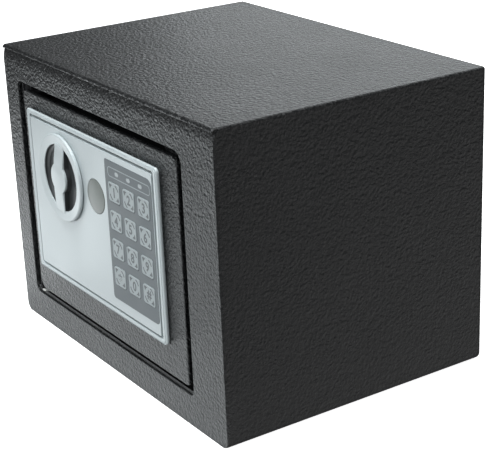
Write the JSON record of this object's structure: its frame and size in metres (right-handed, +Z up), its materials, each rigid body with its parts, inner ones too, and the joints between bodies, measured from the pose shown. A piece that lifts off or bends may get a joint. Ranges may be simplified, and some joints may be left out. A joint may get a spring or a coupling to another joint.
{
  "type": "safe",
  "caption": "Small steel safe with an inset hinged door, silver fascia with turn knob and keypad, key override, and sliding locking bolts worked from the knob.",
  "frame": {"origin": "centre of the cabinet's underside, on the surface it stands on", "axes": "+X to the right seen from the front, +Y to the back, +Z up"},
  "size_m": [0.23, 0.176, 0.17],
  "materials": {
    "cabinet_coat": "textured powder coat",
    "door_coat": "textured powder coat",
    "nylon": "satin",
    "rubber": "matt",
    "carpet": "needle felt",
    "silver_plastic": "satin silver",
    "knob_silver": "satin silver",
    "knob_black": "matt moulded",
    "keypad_film": "satin printed film",
    "key_grey": "satin",
    "lens": "frosted",
    "cap_plastic": "translucent smoke",
    "zinc_steel": "zinc plated",
    "bolt_chrome": "polished",
    "lock_metal": "nickel plated",
    "brass": "machined",
    "circuit_board": "solder mask",
    "ribbon": "ribbed",
    "coil_tape": "taped winding",
    "black_plastic": "moulded texture",
    "red_plastic": "moulded",
    "cell_sleeve": "printed sleeve, plain"
  },
  "bodies": {
    "cabinet": {"body_shell": "cabinet_coat", "front_frame": "cabinet_coat", "back_panel": "cabinet_coat", "strike_bar": "cabinet_coat", "hinge_brackets": "cabinet_coat", "hinge_washer": "nylon", "door_stops": "cabinet_coat", "door_bumpers": "rubber", "floor_mat": "carpet"},
    "door": {"door_plate": "door_coat", "hinge_knuckles": "door_coat", "hinge_pins": "zinc_steel", "bolt_guide": "zinc_steel", "fascia_bezel": "silver_plastic", "fascia_plate": "silver_plastic", "fascia_screws": "zinc_steel", "keypad_overlay": "keypad_film", "keypad_board": "circuit_board", "indicator_lenses": "lens", "spindle_bush": "brass", "lock_cylinder": "lock_metal", "lock_nut": "lock_metal", "ribbon_cable": "ribbon", "control_board": "circuit_board", "solenoid_frame": "zinc_steel", "solenoid_coil": "coil_tape", "solenoid_spring": "zinc_steel", "carriage_screws": "zinc_steel", "cover_posts": "zinc_steel", "mechanism_cover": "black_plastic", "cover_screws": "zinc_steel", "battery_tray": "black_plastic", "battery_contacts": "zinc_steel", "batteries": "cell_sleeve"},
    "knob": {"knob_face": "knob_silver", "knob_body": "knob_black", "knob_spindle": "zinc_steel", "drive_crank": "zinc_steel", "spindle_clip": "zinc_steel"},
    "bolt_carriage": {"carriage_plate": "zinc_steel", "locking_bolts": "bolt_chrome"},
    "keyhole_cover": {"key_cover": "cap_plastic"},
    "key_lock": {"lock_plug": "brass", "lock_cam": "zinc_steel"},
    "plunger": {"solenoid_plunger": "zinc_steel"},
    "battery_door": {"battery_lid": "black_plastic"},
    "reset": {"reset_button": "red_plastic"},
    "key_1_cap": {"key_1": "key_grey"},
    "key_2_cap": {"key_2": "key_grey"},
    "key_3_cap": {"key_3": "key_grey"},
    "key_4_cap": {"key_4": "key_grey"},
    "key_5_cap": {"key_5": "key_grey"},
    "key_6_cap": {"key_6": "key_grey"},
    "key_7_cap": {"key_7": "key_grey"},
    "key_8_cap": {"key_8": "key_grey"},
    "key_9_cap": {"key_9": "key_grey"},
    "key_star_cap": {"key_star": "key_grey"},
    "key_0_cap": {"key_0": "key_grey"},
    "key_hash_cap": {"key_hash": "key_grey"}
  },
  "joints": [
    {"name": "door_hinge", "type": "hinge", "parent": "cabinet", "child": "door", "pos_m": [-0.091, -0.0805, 0.08475], "axis": [0, 0, -1], "range_deg": [0, 95]},
    {"name": "knob_turn", "type": "hinge", "parent": "door", "child": "knob", "pos_m": [-0.04375, -0.088, 0.1058], "axis": [0, -1, 0], "range_deg": [0, 90]},
    {"name": "bolt_throw", "type": "slide", "parent": "door", "child": "bolt_carriage", "axis": [1, 0, 0], "range_m": [0, 0.01414]},
    {"name": "cover_pull", "type": "slide", "parent": "door", "child": "keyhole_cover", "axis": [0, -1, 0], "range_m": [0, 0.012]},
    {"name": "key_turn", "type": "hinge", "parent": "door", "child": "key_lock", "pos_m": [-0.0042, -0.0863, 0.1051], "axis": [0, -1, 0], "range_deg": [0, 90]},
    {"name": "plunger_rise", "type": "slide", "parent": "door", "child": "plunger", "axis": [0, 0, 1], "range_m": [0, 0.005], "deforming": ["solenoid_spring"]},
    {"name": "battery_lid_off", "type": "slide", "parent": "door", "child": "battery_door", "axis": [0, 1, 0], "range_m": [0, 0.02]},
    {"name": "reset_press", "type": "slide", "parent": "door", "child": "reset", "axis": [0, -1, 0], "range_m": [0, 0.0015], "stiffness_N_per_m": 300},
    {"name": "key_1_press", "type": "slide", "parent": "door", "child": "key_1_cap", "axis": [0, 1, 0], "range_m": [0, 0.0005], "stiffness_N_per_m": 800},
    {"name": "key_2_press", "type": "slide", "parent": "door", "child": "key_2_cap", "axis": [0, 1, 0], "range_m": [0, 0.0005], "stiffness_N_per_m": 800},
    {"name": "key_3_press", "type": "slide", "parent": "door", "child": "key_3_cap", "axis": [0, 1, 0], "range_m": [0, 0.0005], "stiffness_N_per_m": 800},
    {"name": "key_4_press", "type": "slide", "parent": "door", "child": "key_4_cap", "axis": [0, 1, 0], "range_m": [0, 0.0005], "stiffness_N_per_m": 800},
    {"name": "key_5_press", "type": "slide", "parent": "door", "child": "key_5_cap", "axis": [0, 1, 0], "range_m": [0, 0.0005], "stiffness_N_per_m": 800},
    {"name": "key_6_press", "type": "slide", "parent": "door", "child": "key_6_cap", "axis": [0, 1, 0], "range_m": [0, 0.0005], "stiffness_N_per_m": 800},
    {"name": "key_7_press", "type": "slide", "parent": "door", "child": "key_7_cap", "axis": [0, 1, 0], "range_m": [0, 0.0005], "stiffness_N_per_m": 800},
    {"name": "key_8_press", "type": "slide", "parent": "door", "child": "key_8_cap", "axis": [0, 1, 0], "range_m": [0, 0.0005], "stiffness_N_per_m": 800},
    {"name": "key_9_press", "type": "slide", "parent": "door", "child": "key_9_cap", "axis": [0, 1, 0], "range_m": [0, 0.0005], "stiffness_N_per_m": 800},
    {"name": "key_star_press", "type": "slide", "parent": "door", "child": "key_star_cap", "axis": [0, 1, 0], "range_m": [0, 0.0005], "stiffness_N_per_m": 800},
    {"name": "key_0_press", "type": "slide", "parent": "door", "child": "key_0_cap", "axis": [0, 1, 0], "range_m": [0, 0.0005], "stiffness_N_per_m": 800},
    {"name": "key_hash_press", "type": "slide", "parent": "door", "child": "key_hash_cap", "axis": [0, 1, 0], "range_m": [0, 0.0005], "stiffness_N_per_m": 800}
  ],
  "couplings": [
    {"joint": "knob_turn", "follows": "bolt_throw", "rad_per_m": 111.07}
  ]
}
